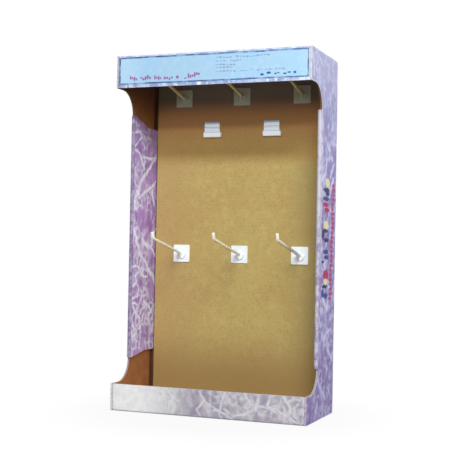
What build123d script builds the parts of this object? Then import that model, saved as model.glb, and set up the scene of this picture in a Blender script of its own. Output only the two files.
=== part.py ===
from build123d import *
import os

# Display stand of folded corrugated board with a kraft hook panel, six moulded hooks and two grip clips.
# Origin: middle of the footprint, on the surface it stands on. X across the front, Y towards the back, Z up.

# Casing, outside sizes
WIDTH = 356.0
DEPTH = 162.0
HEIGHT = 620.0
BOARD = 3.0
HEADER_HEIGHT = 56.5
LIP_HEIGHT = 47.0
FOLD_RADIUS = 1.8
EDGE_ROUNDING = 2.0
ON_FACE = 0.01

# Cut-out of the side walls and the rolled-over edge that lines it
CUTOUT_DEPTH = 64.5
CUTOUT_RADIUS = 40.0
ROLL_SETBACK = 59.0
ROLL_WIDTH = 7.0
ROLL_END_GAP = 1.0
LINING_CORNER_DEPTH = 118.0
LINING_TOP_DROP = 16.0
LINING_FOOT_RISE = 8.5
LINING_BACK_GAP = 0.7
LINING_CORNER_RADIUS = 8.0

# Glue tabs at the ends of the top, bottom, header and lip panels
TAB_WIDTH = 25.0
TAB_SLOPE = 62.0
TAB_END_GAP = 1.5

# Header label
LABEL_THICKNESS = 0.4
LABEL_WIDTH = 346.0
LABEL_HEIGHT = 48.0
LABEL_FOOT = 5.5
LABEL_CORNER = 1.5

# Hook panel and the places of the hooks and clips on it
PANEL_WIDTH = 337.0
PANEL_CLEARANCE = 0.5
HOOK_PITCH = 115.0
LOWER_ROW = 275.5
UPPER_ROW = 564.5
CLIP_PITCH = 116.0
CLIP_ROW = 505.0
KEY_SLOT_LENGTH = 27.0
KEY_SLOT_HEIGHT = 8.0

# Moulded hook
PLATE_SIZE = 32.0
PLATE_THICKNESS = 2.0
PLATE_CORNER = 2.0
PLATE_BEVEL = 0.5
KEY_THICKNESS = 2.4
KEY_CLEARANCE = 0.2
BOSS_RADIUS = 10.0
BOSS_PROUD = 2.5
BOSS_TAPER = 15.0
WEB_THICKNESS = 2.0
WEB_REACH = 15.0
WEB_FOOT = 9.0
SHAFT_DIAMETER = 5.6
ROOT_DIAMETER = 9.0
ROOT_LENGTH = 7.0
ROOT_TAPER = 14.0
SHAFT_REACH = 126.5
SHAFT_RISE = 25.5
TIP_RISE = 9.0
TIP_LEAN = 2.6
BEND_RADIUS = 6.0

# Grip clip, cut from a moulded strip
CLIP_WIDTH = 30.0
CLIP_LIP_WIDTH = 34.0
CLIP_HEIGHT = 30.0
CLIP_WALL = 1.6
CLIP_GAP = 3.4
CLIP_LIP_HEIGHT = 9.0
CLIP_LIP_LEAN = 1.2
CLIP_RIB_HEIGHT = 2.4
CLIP_RIB_PROUD = 0.8
CLIP_RIB_OFFSET = 3.0

# Places worked out from the sizes above
FRONT = -(DEPTH - LABEL_THICKNESS) / 2
BACK = FRONT + DEPTH
WALL = WIDTH / 2
INSIDE = WALL - BOARD
WALL_MIDDLE = WALL - BOARD / 2
FOLD_OUTSIDE = FOLD_RADIUS + BOARD / 2
CUTOUT_EDGE = FRONT + CUTOUT_DEPTH
ROLL_FRONT = FRONT + ROLL_SETBACK
ROLL_LOW = LIP_HEIGHT + CUTOUT_RADIUS - ROLL_END_GAP
ROLL_HIGH = HEIGHT - HEADER_HEIGHT - CUTOUT_RADIUS - ROLL_END_GAP
LINING_MIDDLE = WALL - ROLL_WIDTH + BOARD / 2
PANEL_BACK = BACK - BOARD - KEY_THICKNESS
PANEL_FRONT = PANEL_BACK - BOARD

os.makedirs("parts", exist_ok=True)


def board_wrap(*corners):
    """Trace a strip of board along a folded centre line, with a radius at each fold."""
    with BuildLine() as centre_line:
        FilletPolyline(*corners, radius=FOLD_RADIUS)
    trace(centre_line.line, line_width=BOARD)


with BuildPart() as casing:
    # Header, top, back, bottom and lip are one strip, seen here from the side
    front_middle = FRONT + BOARD / 2
    back_middle = BACK - BOARD / 2
    top_middle = HEIGHT - BOARD / 2
    with BuildSketch(Plane.YZ) as centre_strip:
        board_wrap(
            (front_middle, HEIGHT - HEADER_HEIGHT),
            (front_middle, top_middle),
            (back_middle, top_middle),
            (back_middle, BOARD / 2),
            (front_middle, BOARD / 2),
            (front_middle, LIP_HEIGHT),
        )
    extrude(amount=INSIDE, both=True)
    # The folds at the strip's ends, where its tabs turn inwards, are rounded
    end_edges = casing.edges().filter_by(
        lambda edge: abs(edge.center().X) > INSIDE - ON_FACE
        and (
            edge.center().Y < FRONT + ON_FACE
            or edge.center().Z > HEIGHT - ON_FACE
            or edge.center().Z < ON_FACE
        )
    )
    fillet(end_edges, EDGE_ROUNDING)

    # Side walls: full height as far as the fold, which is relieved where three panels meet
    with BuildSketch(Plane.XY) as side_walls:
        with Locations((-WALL_MIDDLE, FRONT), (WALL_MIDDLE, FRONT)):
            Rectangle(BOARD, DEPTH - FOLD_OUTSIDE, align=(Align.CENTER, Align.MIN))
    extrude(amount=HEIGHT)
    with BuildSketch(Plane.XY.offset(FOLD_OUTSIDE)) as back_folds:
        for side in (-1, 1):
            board_wrap(
                (side * WALL_MIDDLE, BACK - 2 * FOLD_OUTSIDE),
                (side * WALL_MIDDLE, back_middle),
                (side * (WALL_MIDDLE - 2 * FOLD_OUTSIDE), back_middle),
            )
    extrude(amount=HEIGHT - 2 * FOLD_OUTSIDE)

    # The die-cut opening in each side wall, round in its two inner corners
    with BuildSketch(Plane.YZ) as side_opening:
        with Locations((CUTOUT_EDGE, LIP_HEIGHT)):
            Rectangle(
                2 * CUTOUT_DEPTH,
                HEIGHT - HEADER_HEIGHT - LIP_HEIGHT,
                align=(Align.MAX, Align.MIN),
            )
        fillet(side_opening.vertices().group_by(Axis.X)[-1], CUTOUT_RADIUS)
    extrude(amount=WIDTH, both=True, mode=Mode.SUBTRACT)

    # Rolled-over edge: two folds a few millimetres apart bring the printed face inside
    with BuildSketch(Plane.XY.offset(ROLL_LOW)) as roll_plan:
        for side in (-1, 1):
            board_wrap(
                (side * WALL_MIDDLE, CUTOUT_EDGE),
                (side * WALL_MIDDLE, ROLL_FRONT + BOARD / 2),
                (side * LINING_MIDDLE, ROLL_FRONT + BOARD / 2),
                (side * LINING_MIDDLE, CUTOUT_EDGE),
            )
    extrude(amount=ROLL_HIGH - ROLL_LOW)

    # Lining flap: tapered behind its fold so that it tucks past the glue tabs
    lining_corner = FRONT + LINING_CORNER_DEPTH
    lining_end = BACK - BOARD - LINING_BACK_GAP
    for side in (-1, 1):
        lining_plane = Plane.YZ.offset(side * (LINING_MIDDLE + BOARD / 2))
        with BuildSketch(lining_plane) as lining:
            with BuildLine():
                Polyline(
                    (CUTOUT_EDGE, ROLL_LOW),
                    (lining_corner, ROLL_LOW + LINING_FOOT_RISE),
                    (lining_end, ROLL_LOW + LINING_FOOT_RISE),
                    (lining_end, ROLL_HIGH - LINING_TOP_DROP),
                    (lining_corner, ROLL_HIGH - LINING_TOP_DROP),
                    (CUTOUT_EDGE, ROLL_HIGH),
                    close=True,
                )
            make_face()
            fillet(lining.vertices().group_by(Axis.X)[1:], LINING_CORNER_RADIUS)
        extrude(amount=-side * BOARD)

    # Glue tabs, folded in at the ends of the centre strip and stuck to the side walls
    level_tab = DEPTH - 2 * (TAB_WIDTH + 2 * BOARD)
    header_tab = HEADER_HEIGHT - 2 * BOARD
    lip_tab = LIP_HEIGHT - 2 * BOARD
    for side in (-1, 1):
        with BuildSketch(Plane.YZ.offset(side * INSIDE)) as tabs:
            with Locations((0, BOARD)):
                Trapezoid(level_tab, TAB_WIDTH, TAB_SLOPE, align=(Align.CENTER, Align.MIN))
            with Locations((0, HEIGHT - BOARD)):
                Trapezoid(
                    level_tab,
                    TAB_WIDTH,
                    TAB_SLOPE,
                    rotation=180,
                    align=(Align.CENTER, Align.MIN),
                )
            with Locations((FRONT + BOARD, HEIGHT - HEADER_HEIGHT / 2 - TAB_END_GAP)):
                Trapezoid(
                    header_tab,
                    TAB_WIDTH,
                    TAB_SLOPE,
                    rotation=-90,
                    align=(Align.CENTER, Align.MIN),
                )
            with Locations((FRONT + BOARD, LIP_HEIGHT / 2 + TAB_END_GAP)):
                Trapezoid(
                    lip_tab,
                    TAB_WIDTH,
                    TAB_SLOPE,
                    rotation=-90,
                    align=(Align.CENTER, Align.MIN),
                )
        extrude(amount=-side * BOARD)
casing.part.label = "casing"
export_step(casing.part, "parts/casing.step")


with BuildPart() as header_label:
    # Printed card stuck on the header, a little higher than its middle
    with BuildSketch(Plane.XZ.offset(-FRONT)) as label_outline:
        with Locations((0, HEIGHT - HEADER_HEIGHT + LABEL_FOOT + LABEL_HEIGHT / 2)):
            RectangleRounded(LABEL_WIDTH, LABEL_HEIGHT, LABEL_CORNER)
    extrude(amount=LABEL_THICKNESS)
header_label.part.label = "header_label"
export_step(header_label.part, "parts/header_label.step")


with BuildPart() as hook_panel:
    # Flat kraft panel that stands in the casing, with a slot behind each hook plate
    with BuildSketch(Plane.XZ.offset(-PANEL_FRONT)) as panel_outline:
        with Locations((0, BOARD)):
            Rectangle(
                PANEL_WIDTH,
                HEIGHT - 2 * BOARD - PANEL_CLEARANCE,
                align=(Align.CENTER, Align.MIN),
            )
        with Locations((0, (LOWER_ROW + UPPER_ROW) / 2)):
            with GridLocations(HOOK_PITCH, UPPER_ROW - LOWER_ROW, 3, 2):
                SlotOverall(KEY_SLOT_LENGTH, KEY_SLOT_HEIGHT, mode=Mode.SUBTRACT)
    extrude(amount=-BOARD)
hook_panel.part.label = "hook_panel"
export_step(hook_panel.part, "parts/hook_panel.step")


with BuildPart() as hook:
    # Square plate that bears on the front of the panel
    with BuildSketch(Plane.XZ) as plate_outline:
        RectangleRounded(PLATE_SIZE, PLATE_SIZE, PLATE_CORNER)
    extrude(amount=PLATE_THICKNESS)
    chamfer(hook.faces().sort_by(Axis.Y)[0].edges(), PLATE_BEVEL)
    # Quarter-turn key: a neck through the slot and a bar that lies upright behind the board
    key_width = KEY_SLOT_HEIGHT - 2 * KEY_CLEARANCE
    with BuildSketch(Plane.XZ) as neck:
        Circle(key_width / 2)
    extrude(amount=-BOARD)
    with BuildSketch(Plane.XZ.offset(-BOARD)) as key_bar:
        SlotOverall(KEY_SLOT_LENGTH - 2 * KEY_CLEARANCE, key_width, rotation=90)
    extrude(amount=-KEY_THICKNESS)
    # Half-round boss below the shaft
    with BuildSketch(Plane.XZ.offset(PLATE_THICKNESS)) as boss:
        Circle(BOSS_RADIUS)
        Rectangle(
            2 * BOSS_RADIUS,
            BOSS_RADIUS,
            align=(Align.CENTER, Align.MIN),
            mode=Mode.SUBTRACT,
        )
    extrude(amount=BOSS_PROUD, taper=BOSS_TAPER)
    # Web from the foot of the boss to the underside of the shaft
    with BuildSketch(Plane.YZ) as web:
        with BuildLine():
            Polyline(
                (-PLATE_THICKNESS, 0),
                (-WEB_REACH, WEB_REACH * SHAFT_RISE / SHAFT_REACH),
                (-PLATE_THICKNESS - BOSS_PROUD, -WEB_FOOT),
                (-PLATE_THICKNESS, -WEB_FOOT),
                close=True,
            )
        make_face()
    extrude(amount=WEB_THICKNESS / 2, both=True)
    # Rising shaft with its end turned up and rounded
    with BuildLine() as shaft_path:
        FilletPolyline(
            (0, -PLATE_THICKNESS / 2, 0),
            (0, -SHAFT_REACH, SHAFT_RISE),
            (0, -SHAFT_REACH - TIP_LEAN, SHAFT_RISE + TIP_RISE),
            radius=BEND_RADIUS,
        )
    with BuildSketch(Plane(shaft_path.line @ 0, z_dir=shaft_path.line % 0)) as shaft_section:
        Circle(SHAFT_DIAMETER / 2)
    sweep(path=shaft_path.line)
    with Locations(shaft_path.line @ 1):
        Sphere(SHAFT_DIAMETER / 2)
    # Flared root of the shaft
    with BuildSketch(Plane(shaft_path.line @ 0, z_dir=shaft_path.line % 0)) as root:
        Circle(ROOT_DIAMETER / 2)
    extrude(amount=ROOT_LENGTH, taper=ROOT_TAPER)

rows = {"upper": UPPER_ROW, "lower": LOWER_ROW}
columns = {"left": -HOOK_PITCH, "middle": 0, "right": HOOK_PITCH}
for row, row_height in rows.items():
    for column, offset in columns.items():
        placed_hook = hook.part.moved(Location((offset, PANEL_FRONT, row_height)))
        placed_hook.label = f"hook_{row}_{column}"
        export_step(placed_hook, f"parts/{placed_hook.label}.step")


with BuildPart() as clip:
    # Grip strip: flat back, then a lip curled forwards and up
    foot = -CLIP_HEIGHT / 2
    curl = (CLIP_GAP + CLIP_WALL) / 2
    plate_middle = -CLIP_WALL / 2
    lip_middle = plate_middle - 2 * curl
    with BuildSketch(Plane.YZ) as back_profile:
        with Locations((0, foot + curl)):
            Rectangle(CLIP_WALL, CLIP_HEIGHT - curl, align=(Align.MAX, Align.MIN))
        with Locations((-CLIP_WALL, CLIP_RIB_OFFSET)):
            Rectangle(CLIP_RIB_PROUD, CLIP_RIB_HEIGHT, align=(Align.MAX, Align.CENTER))
    extrude(amount=CLIP_WIDTH / 2, both=True)
    with BuildSketch(Plane.YZ) as lip_profile:
        with BuildLine():
            Polyline(
                (plate_middle, foot + CLIP_LIP_HEIGHT),
                (plate_middle, foot + CLIP_WALL / 2 + curl),
            )
            ThreePointArc(
                (plate_middle, foot + CLIP_WALL / 2 + curl),
                (plate_middle - curl, foot + CLIP_WALL / 2),
                (lip_middle, foot + CLIP_WALL / 2 + curl),
            )
            Line(
                (lip_middle, foot + CLIP_WALL / 2 + curl),
                (lip_middle - CLIP_LIP_LEAN, foot + CLIP_LIP_HEIGHT),
            )
        trace(line_width=CLIP_WALL)
    extrude(amount=CLIP_LIP_WIDTH / 2, both=True)

for place, offset in (("left", -CLIP_PITCH / 2), ("right", CLIP_PITCH / 2)):
    placed_clip = clip.part.moved(Location((offset, PANEL_FRONT, CLIP_ROW)))
    placed_clip.label = f"clip_{place}"
    export_step(placed_clip, f"parts/{placed_clip.label}.step")
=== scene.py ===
import bmesh
import bpy
import math
from mathutils import Matrix, Vector, noise


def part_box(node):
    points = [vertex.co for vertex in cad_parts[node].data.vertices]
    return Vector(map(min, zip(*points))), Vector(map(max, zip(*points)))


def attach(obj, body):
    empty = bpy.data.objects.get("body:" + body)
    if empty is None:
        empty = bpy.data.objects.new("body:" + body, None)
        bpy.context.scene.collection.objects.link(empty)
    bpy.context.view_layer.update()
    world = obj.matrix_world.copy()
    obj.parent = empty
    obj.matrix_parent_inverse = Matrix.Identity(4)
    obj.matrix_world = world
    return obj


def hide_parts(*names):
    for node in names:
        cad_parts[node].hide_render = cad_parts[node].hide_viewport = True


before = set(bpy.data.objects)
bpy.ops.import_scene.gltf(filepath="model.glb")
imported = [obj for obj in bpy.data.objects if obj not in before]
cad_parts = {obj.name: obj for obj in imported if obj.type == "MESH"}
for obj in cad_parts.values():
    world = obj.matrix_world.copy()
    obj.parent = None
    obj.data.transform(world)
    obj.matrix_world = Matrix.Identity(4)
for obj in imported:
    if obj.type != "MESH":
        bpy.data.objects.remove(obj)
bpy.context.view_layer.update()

# Casing
# One die-cut blank of corrugated board, printed outside and plain kraft inside. It is creased and folded
# round a strip of header, top, back, bottom and lip, held by tabs glued to the side walls, and each wall's
# front edge is rolled over so that its lining flap shows the print inside.
mm = 0.001
board = 3.0 * mm
bend = 1.8 * mm
bend_steps = 5
header_height = 56.5 * mm
lip_height = 47.0 * mm
cutout_depth = 64.5 * mm
cutout_radius = 40.0 * mm
roll_setback = 59.0 * mm
roll_width = 7.0 * mm
roll_end_gap = 1.0 * mm
lining_corner_depth = 118.0 * mm
lining_top_drop = 16.0 * mm
lining_foot_rise = 8.5 * mm
lining_back_gap = 0.7 * mm
lining_corner = 8.0 * mm
tab_width = 25.0 * mm
tab_slope = math.radians(62)
tab_end = 4.5 * mm
tab_free_end = 1.5 * mm
level_tab_end = 31.0 * mm
glue_line = 0.05 * mm
row_step = 9.0 * mm
worn_margin = 1.2 * mm
rim_depth = 4.0 * mm
flute_pitch = 6.4 * mm
lobe_steps = 16
lining_corner_steps = 5
leg_steps = 3
slack = 1e-6
sharp_edge = math.radians(40)

casing_low, casing_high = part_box("casing")
height = casing_high.z
front_middle = casing_low.y + board / 2
back_middle = casing_high.y - board / 2
wall_middle = casing_high.x - board / 2
lining_middle = casing_high.x - roll_width + board / 2
cutout_edge = casing_low.y + cutout_depth
roll_front_middle = casing_low.y + roll_setback + board / 2
lining_end = casing_high.y - board - lining_back_gap
lining_knee = casing_low.y + lining_corner_depth
roll_low = lip_height + cutout_radius
roll_high = height - header_height - cutout_radius - roll_end_gap
fold_start = wall_middle - bend
tab_middle = wall_middle - board - glue_line
tab_fold = tab_middle - bend


def spaced(keys, step):
    """Fills in between the given places so that no two neighbours are further apart than step."""
    filled = [keys[0]]
    for start, end in zip(keys, keys[1:]):
        count = max(1, math.ceil((end - start) / step - 0.001))
        filled += [start + (end - start) * i / count for i in range(1, count + 1)]
    return filled


def folded_line(corners, marks, step):
    """Walks a folded centre line and gives the rows of each flat and each bend in turn.

    A row is its place, the side that faces out, and the distance run on the unfolded board.
    marks holds, for each flat, distances from its first corner where a row has to stand."""
    corners = [Vector(corner) for corner in corners]
    stretches = []
    run = 0.0
    start = corners[0]
    for number, (here, there) in enumerate(zip(corners, corners[1:])):
        along = (there - here).normalized()
        out = Vector((-along.y, along.x))
        last = number == len(corners) - 2
        end = there if last else there - along * bend
        reach = (end - start).length
        trimmed = (start - here).length
        inner = {mark - trimmed for mark in marks[number]}
        inner = {key for key in inner if worn_margin / 2 < key < reach - worn_margin / 2}
        keys = sorted({0.0, reach} | inner)
        stretches.append([(start + along * far, out, run + far) for far in spaced(keys, step)])
        run += reach
        if last:
            break
        onward = (corners[number + 2] - there).normalized()
        centre = end + onward * bend
        turn = []
        for i in range(bend_steps + 1):
            angle = math.pi / 2 * i / bend_steps
            out = along * math.sin(angle) - onward * math.cos(angle)
            turn.append((centre + out * bend, out, run + bend * angle))
        stretches.append(turn)
        run += bend * math.pi / 2
        start = there + onward * bend
    return stretches


def new_board():
    """A middle surface of board, whose points have an outward side, a place on the flat sheet and wear."""
    middle = bmesh.new()
    middle.verts.layers.float_vector.new("out")
    middle.verts.layers.float_vector.new("flat")
    middle.verts.layers.float.new("worn")
    return middle


def lay(middle, rows, finish):
    """Lays one patch of board. A row is a list of points: place, outward side, place when flat, wear."""
    out_layer = middle.verts.layers.float_vector["out"]
    flat_layer = middle.verts.layers.float_vector["flat"]
    worn_layer = middle.verts.layers.float["worn"]
    laid = []
    for row in rows:
        laid.append([])
        for place, out, flat, worn in row:
            vert = middle.verts.new(place)
            vert[out_layer] = out
            vert[flat_layer] = (flat[0], flat[1], 0)
            vert[worn_layer] = worn
            laid[-1].append(vert)
    for upper, lower in zip(laid, laid[1:]):
        for i in range(len(upper) - 1):
            face = middle.faces.new((upper[i], upper[i + 1], lower[i + 1], lower[i]))
            face.material_index = finish


def thicken(name, middle, thickness, inner_finish, edge_finish):
    """Turns a middle surface into board with two sides and cut edges, and returns it as a mesh."""
    bmesh.ops.remove_doubles(middle, verts=middle.verts, dist=0.01 * mm)
    middle.verts.index_update()
    middle.normal_update()
    out_layer = middle.verts.layers.float_vector["out"]
    flat_layer = middle.verts.layers.float_vector["flat"]
    worn_layer = middle.verts.layers.float["worn"]
    count = len(middle.verts)
    verts = list(middle.verts)
    places = [v.co + v[out_layer] * thickness / 2 for v in verts]
    places += [v.co - v[out_layer] * thickness / 2 for v in verts]
    faces = []
    finishes = []
    for face in middle.faces:
        ring = [v.index for v in face.verts]
        out = sum((v[out_layer] for v in face.verts), Vector())
        if face.normal.dot(out) < 0:
            ring.reverse()
        faces.append(ring)
        finishes.append(face.material_index)
        faces.append([i + count for i in reversed(ring)])
        finishes.append(inner_finish)
        free = {frozenset(v.index for v in edge.verts) for edge in face.edges if edge.is_boundary}
        for a, b in zip(ring, ring[1:] + ring[:1]):
            if frozenset((a, b)) in free:
                faces.append([b, a, a + count, b + count])
                finishes.append(edge_finish)
    mesh = bpy.data.meshes.new(name)
    mesh.from_pydata(places, [], faces)
    mesh.polygons.foreach_set("material_index", finishes)
    sheet = mesh.uv_layers.new(name="flat_sheet")
    across = mesh.attributes.new("across", "FLOAT", "POINT")
    across.data.foreach_set("value", [1.0] * count + [-1.0] * count)
    worn = mesh.attributes.new("worn", "FLOAT", "POINT")
    worn.data.foreach_set("value", [max(v[worn_layer], float(v.is_boundary)) for v in verts] * 2)
    for loop in mesh.loops:
        flat = verts[loop.vertex_index % count][flat_layer]
        sheet.data[loop.index].uv = (flat.x, flat.y)
    middle.free()
    mesh.shade_smooth()
    mesh.set_sharp_from_angle(angle=sharp_edge)
    return mesh


# The outward finishes of the blank's panels, then the plain inside and the cut edge
finishes = ("header", "plain", "lip", "wall", "roll", "lining", "inside", "edge", "rim")
finish_number = {name: number for number, name in enumerate(finishes)}
casing_board = new_board()

# Centre strip, walked from the header's free edge over the top, down the back and under to the lip
depth = back_middle - front_middle
tab_rise = tab_width / math.tan(tab_slope)
tab_roots = {
    "header": (tab_free_end, header_height - tab_end),
    "top": (level_tab_end, depth - level_tab_end),
    "bottom": (level_tab_end, depth - level_tab_end),
    "lip": (tab_end - board / 2, lip_height - board / 2 - tab_free_end),
}
top_middle = height - board / 2
tab_marks = {
    panel: [start, start + tab_rise, end - tab_rise, end] for panel, (start, end) in tab_roots.items()
}
strip_marks = [
    [worn_margin] + tab_marks["header"],
    tab_marks["top"],
    [top_middle - z for z in (height - header_height - cutout_radius, roll_high, roll_low)],
    tab_marks["bottom"],
    tab_marks["lip"] + [lip_height - board / 2 - worn_margin],
]
strip_marks[2] += [top_middle - roll_low - worn_margin, top_middle - roll_high + worn_margin]
strip = folded_line(
    [
        (front_middle, height - header_height),
        (front_middle, top_middle),
        (back_middle, top_middle),
        (back_middle, board / 2),
        (front_middle, board / 2),
        (front_middle, lip_height),
    ],
    strip_marks,
    row_step,
)
panels = ("header", "top", "back", "bottom", "lip")
panel_finish = {"header": "header", "top": "plain", "back": "plain", "bottom": "plain", "lip": "lip"}
fold_finish = ("header", "plain", "plain", "lip")


def bend_wear(i):
    """A fold is worn along its middle and sound at both sides of it."""
    return 1.0 - abs(2 * i / bend_steps - 1)


def end_fold(place, out, run, start, leg):
    """One row's points round the fold at a panel's end and along the leg behind it, on the right side."""
    points = []
    for i in range(bend_steps + 1):
        angle = math.pi / 2 * i / bend_steps
        x = start + bend * math.sin(angle)
        middle = place - out * bend * (1 - math.cos(angle))
        side = Vector((math.sin(angle), out.x * math.cos(angle), out.y * math.cos(angle)))
        flat = (start + bend * angle, run)
        points.append((Vector((x, middle.x, middle.y)), side, flat, bend_wear(i)))
    if leg:
        for i in range(1, leg_steps + 1):
            far = leg * i / leg_steps
            middle = place - out * (bend + far)
            flat = (start + bend * math.pi / 2 + far, run)
            points.append((Vector((start + bend, middle.x, middle.y)), Vector((1, 0, 0)), flat, 0.0))
    return points


def mirrored(point, side):
    """The same point on the right side, or on the left when side is -1."""
    place, out, flat, worn = point
    place = Vector((place.x * side, place.y, place.z))
    out = Vector((out.x * side, out.y, out.z))
    return place, out, (flat[0] * side, flat[1]), worn


for number, stretch in enumerate(strip):
    flat_panel = number % 2 == 0
    panel = panels[number // 2]
    finish = finish_number[panel_finish[panel] if flat_panel else fold_finish[number // 2]]
    reach = fold_start if panel == "back" and flat_panel else tab_fold
    middle_rows = []
    end_rows = []
    for i, (place, out, run) in enumerate(stretch):
        worn = 0.0 if flat_panel else bend_wear(i)
        out_3d = Vector((0, out.x, out.y))
        tab_folds = [-tab_fold, tab_fold] if reach > tab_fold else []
        across = spaced([-reach, *tab_folds, reach], row_step)
        middle_rows.append([(Vector((x, place.x, place.y)), out_3d, (x, run), worn) for x in across])
        if not flat_panel:
            ends = [tab_fold, tab_middle]
            end_rows.append([(Vector((x, place.x, place.y)), out_3d, (x, run), worn) for x in ends])
        elif panel == "back":
            end_rows.append(end_fold(place, out, run, fold_start, 0))
        else:
            root_start, root_end = tab_roots[panel]
            trimmed = 0.0 if panel == "header" else bend
            far = run - stretch[0][2] + trimmed
            rise = min(far - root_start, root_end - far) * math.tan(tab_slope)
            leg = min(max(rise, tab_free_end / 3), tab_width)
            end_rows.append(end_fold(place, out, run, tab_fold, leg))
    lay(casing_board, middle_rows, finish)
    for side in (-1, 1):
        lay(casing_board, [[mirrored(point, side) for point in row] for row in end_rows], finish)

# Side walls, from the back fold forwards, with a lobe above and below the cut-out
back_rows = strip[2 * panels.index("back")]
heights = sorted([0.0, height] + [place.y for place, out, run in back_rows])
back_top_run = back_rows[0][2] + back_rows[0][0].y
wall_start_run = fold_start + bend * math.pi / 2
wall_back = back_middle - bend
lobe_angles = [math.pi / 2 * i / lobe_steps for i in range(lobe_steps, -1, -1)]
lobe_columns = [cutout_edge - cutout_radius * (1 - math.sin(angle)) for angle in lobe_angles]
lobe_reach = [cutout_radius * (1 - math.cos(angle)) for angle in lobe_angles]
front_columns = spaced(
    [casing_low.y, casing_low.y + worn_margin, casing_low.y + rim_depth, lobe_columns[-1]], row_step
)[::-1][1:]
lobe_columns += front_columns
lobe_reach += [0.0] * len(front_columns)


def wall_point(y, z):
    """A point of the right side wall's middle surface."""
    flat = (wall_start_run + wall_back - y, back_top_run - z)
    return Vector((wall_middle, y, z)), Vector((1, 0, 0)), flat, 0.0


wall_rows = [[wall_point(y, z) for z in heights] for y in spaced([cutout_edge, wall_back], row_step)]
low_heights = [z for z in heights if z <= roll_low + slack]
high_heights = [z for z in heights if z >= height - header_height - cutout_radius - slack]
low_lobe = []
high_lobe = []
for y, reach in zip(lobe_columns, lobe_reach):
    low_share = (lip_height + reach) / roll_low
    low_lobe.append([wall_point(y, z * low_share) for z in low_heights])
    high_share = (header_height + reach) / (header_height + cutout_radius)
    high_lobe.append([wall_point(y, height - (height - z) * high_share) for z in high_heights])

# Roll and lining, walked in plan from the cut-out's edge round the two folds and back along the inside
lining_marks = [lining_knee, cutout_edge, lining_end - worn_margin]
for i in range(lining_corner_steps):
    angle = math.pi / 2 * i / lining_corner_steps
    lining_marks.append(lining_end - lining_corner * (1 - math.sin(angle)))
roll_plan = folded_line(
    [
        (wall_middle, cutout_edge),
        (wall_middle, roll_front_middle),
        (lining_middle, roll_front_middle),
        (lining_middle, lining_end),
    ],
    [[], [], [y - roll_front_middle for y in lining_marks]],
    row_step,
)
roll_heights = [z for z in heights if roll_low - slack <= z <= roll_high + slack]
lining_start_run = wall_start_run + wall_back - cutout_edge


def lining_ends(y):
    """The lowest and highest point of the lining flap at a depth, with its tapers and rounded corners."""
    taper = min(max((y - cutout_edge) / (lining_knee - cutout_edge), 0.0), 1.0)
    into_corner = max(y - (lining_end - lining_corner), 0.0)
    rounding = lining_corner - math.sqrt(max(lining_corner**2 - into_corner**2, 0.0))
    return roll_low + lining_foot_rise * taper + rounding, roll_high - lining_top_drop * taper - rounding


def lining_row(place, out, run, low, high, worn):
    """One upright row of the roll or the lining, between its lowest and highest point."""
    row = []
    for z in roll_heights:
        at = low + (high - low) * (z - roll_low) / (roll_high - roll_low)
        flat = (lining_start_run + run, back_top_run - at)
        row.append((Vector((place.x, place.y, at)), Vector((out.x, out.y, 0)), flat, worn))
    return row


roll_rows = [lining_row(*row, roll_low, roll_high, 0.0) for row in roll_plan[0]]
for stretch in roll_plan[1:-1]:
    roll_rows += [lining_row(*row, roll_low, roll_high, 1.0) for row in stretch[1:]]
lining_rows = [lining_row(*row, *lining_ends(row[0].y), 0.0) for row in roll_plan[-1]]

for side in (-1, 1):
    for rows, finish in (
        (wall_rows, "wall"),
        (low_lobe, "wall"),
        (high_lobe, "wall"),
        (roll_rows, "roll"),
        (lining_rows, "lining"),
    ):
        lay(casing_board, [[mirrored(point, side) for point in row] for row in rows], finish_number[finish])

casing_mesh = thicken("casing", casing_board, board, finish_number["inside"], finish_number["edge"])

# Folded board never stands quite flat: the walls and the lip bow a little between their folds
wall_bow = 0.5 * mm
lip_bow = 0.7 * mm
ripple = 0.12 * mm
ripples_per_metre = 18
for vert in casing_mesh.vertices:
    x, y, z = vert.co
    if abs(x) > tab_fold - board:
        forward = (casing_high.y - y) / (casing_high.y - casing_low.y)
        vert.co.x += math.copysign(wall_bow * math.sin(math.pi * z / height) * forward, x)
        vert.co.x += math.copysign(ripple * noise.noise(Vector((2, y, z)) * ripples_per_metre) * forward, x)
    if y < front_middle + board and z < lip_height + board:
        vert.co.y -= lip_bow * math.cos(math.pi * x / (2 * casing_high.x)) * z / lip_height

# Beside the header and the lip the side walls' narrow front edges are closed by the print's paper
for face in casing_mesh.polygons:
    middle = face.center
    cut = face.material_index == finish_number["edge"] and face.normal.y < -0.9 and middle.y < front_middle
    behind = face.material_index == finish_number["inside"] and middle.y < casing_low.y + rim_depth
    if (cut or behind) and abs(middle.x) > tab_middle + board / 2:
        face.material_index = finish_number["rim"]

casing = bpy.data.objects.new("casing_board", casing_mesh)
bpy.context.scene.collection.objects.link(casing)
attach(casing, "root")
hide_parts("casing")


def paint(red, green, blue):
    """A colour as it is seen, 0 to 255 a channel, turned into the linear values that the shaders take."""
    linear = [c / 3294.6 if c <= 10.31 else ((c / 255 + 0.055) / 1.055) ** 2.4 for c in (red, green, blue)]
    return (*linear, 1.0)


def new_finish(name, roughness, specular=0.5):
    """A material with its node tree and its shader."""
    material = bpy.data.materials.new(name)
    material.use_nodes = True
    shader = material.node_tree.nodes["Principled BSDF"]
    shader.inputs["Roughness"].default_value = roughness
    shader.inputs["Specular IOR Level"].default_value = specular
    return material, material.node_tree, shader


def step(tree, kind, values, output=0, **settings):
    """Adds one shader node, fills its inputs with values or with other outputs, and returns one output."""
    node = tree.nodes.new("ShaderNode" + kind)
    for name, value in settings.items():
        setattr(node, name, value)
    for name, value in values.items():
        if isinstance(value, bpy.types.NodeSocket):
            tree.links.new(value, node.inputs[name])
        else:
            node.inputs[name].default_value = value
    return node.outputs[output]


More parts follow.
